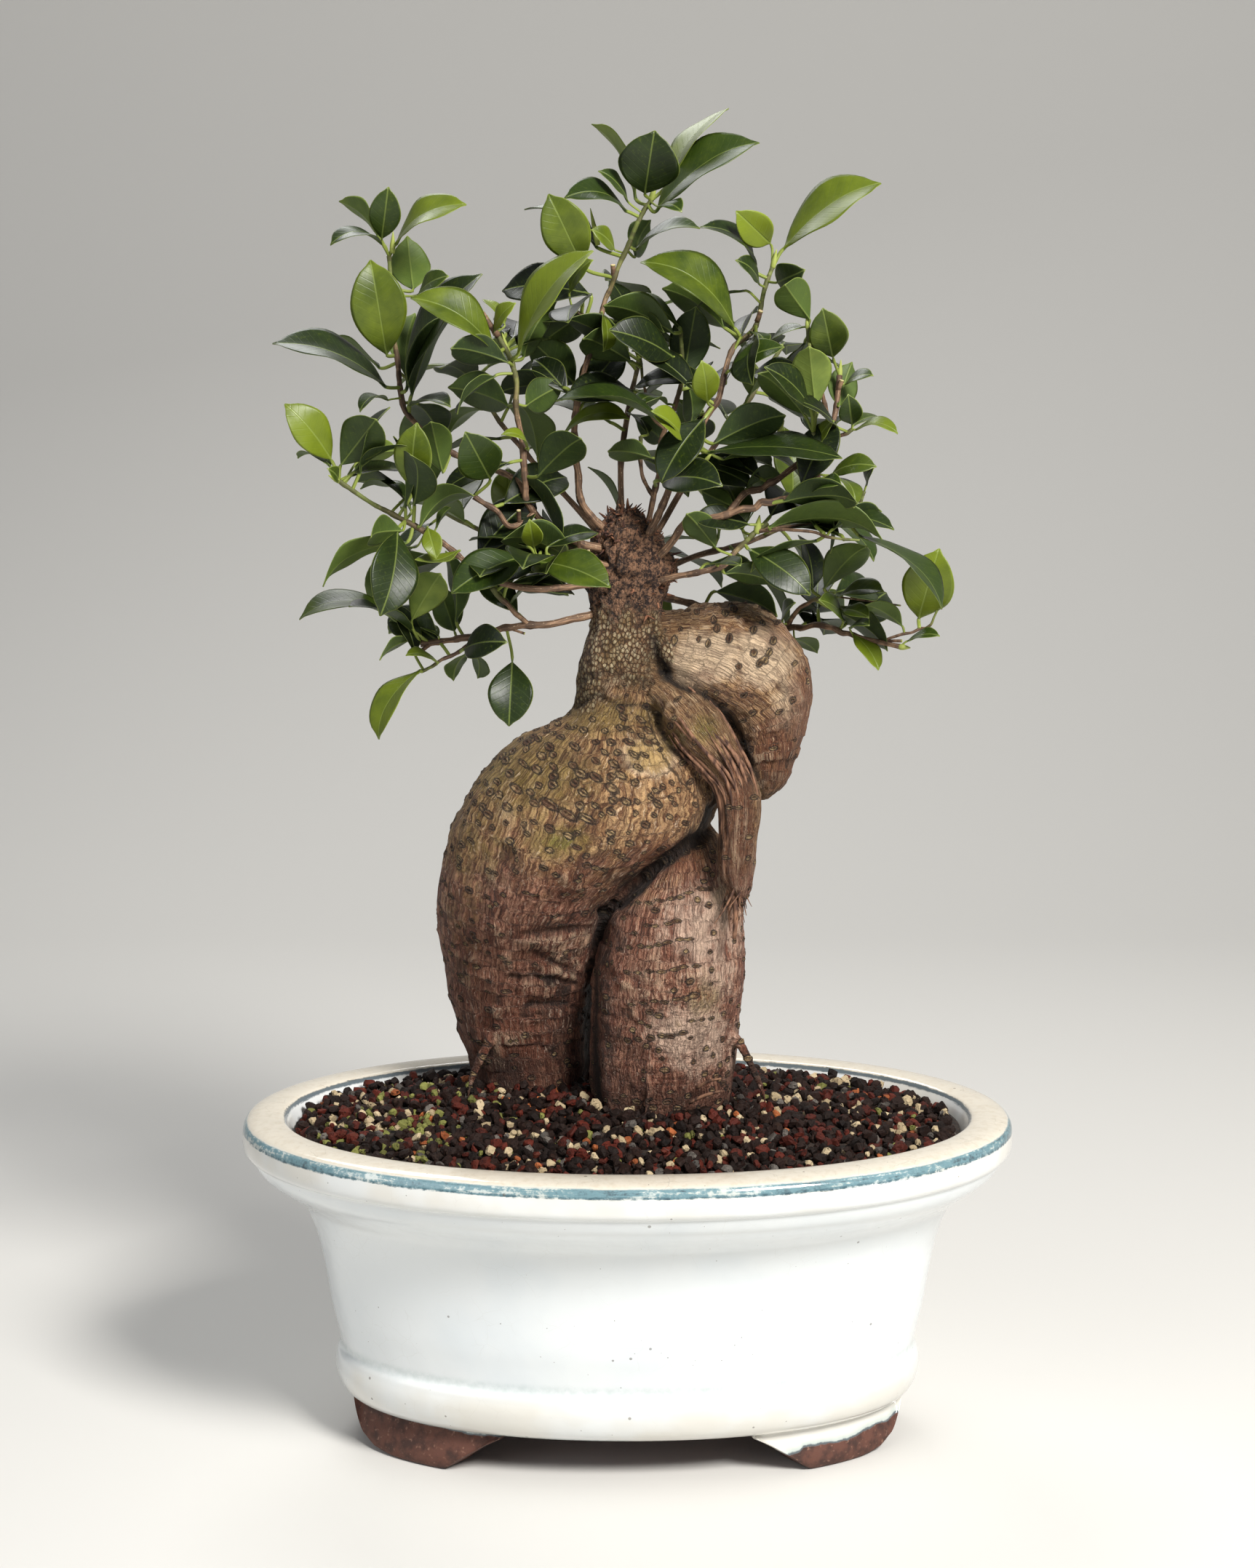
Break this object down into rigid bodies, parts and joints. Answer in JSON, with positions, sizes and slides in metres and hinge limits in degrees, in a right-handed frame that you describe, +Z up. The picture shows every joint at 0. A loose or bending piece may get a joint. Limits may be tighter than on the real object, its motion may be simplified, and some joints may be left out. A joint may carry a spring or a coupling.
{
  "type": "ficus ginseng bonsai in a glazed oval pot",
  "caption": "Indoor bonsai tree with swollen aerial roots, leafy shoots and a mounded soil bed in an oval glazed pot on cloud feet.",
  "frame": {"origin": "centre of the pot's oval on the surface that its feet stand on", "axes": "+Z up along the tree, +X to the right along the pot's length, -Y to the front"},
  "size_m": [0.3004, 0.1931, 0.5143],
  "materials": {
    "glaze": "glossy bluish white crackle glaze, bare reddish clay on the feet",
    "drain_mesh": "matte dark plastic",
    "soil_grains": "loose matte lava and pumice grains",
    "bark": "thin grey-brown bark with raised lenticels",
    "foliage": "waxy green leaves on brown twigs"
  },
  "bodies": {
    "root": {"pot": "glaze", "drain_mesh_left": "drain_mesh", "drain_mesh_right": "drain_mesh", "soil": "soil_grains", "trunk": "bark", "stem_upper_left": "foliage", "stem_mid_left": "foliage", "stem_low_left": "foliage", "stem_front_left": "foliage", "stem_top": "foliage", "stem_centre": "foliage", "stem_upper_right": "foliage", "stem_mid_right": "foliage", "stem_front_right": "foliage", "stem_low_right": "foliage", "stem_back_left_high": "foliage", "stem_back_high": "foliage", "stem_back_right_high": "foliage", "stem_back_left": "foliage", "stem_back_right": "foliage", "stem_back": "foliage"}
  },
  "joints": []
}
